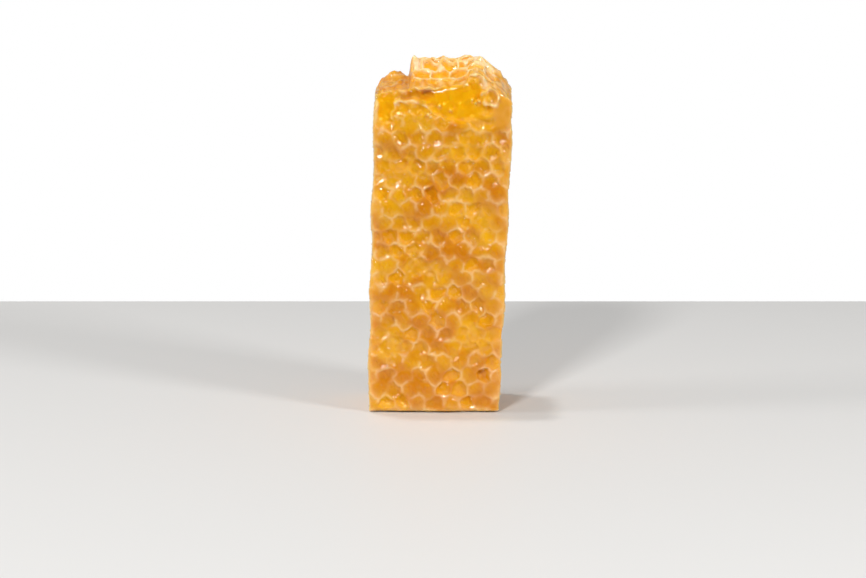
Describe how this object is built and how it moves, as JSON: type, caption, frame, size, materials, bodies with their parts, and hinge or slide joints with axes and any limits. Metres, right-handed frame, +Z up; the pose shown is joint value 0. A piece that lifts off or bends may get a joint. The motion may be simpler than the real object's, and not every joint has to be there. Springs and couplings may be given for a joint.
{
  "type": "honeycomb piece",
  "caption": "Upright slab of cut honeycomb: capped cells full of honey on both faces, knife-cut sides, and a torn upper end of open cells.",
  "frame": {"origin": "middle of the cut lower end, on the surface that the piece stands on", "axes": "+Z up the slab to its torn end, +Y through the slab from the front capped face to the back one, +X across the front from the left cut side to the right one"},
  "size_m": [0.047, 0.031, 0.115],
  "materials": {
    "honeyed_wax": "gloss"
  },
  "bodies": {
    "root": {"honeycomb": "honeyed_wax"}
  },
  "joints": []
}
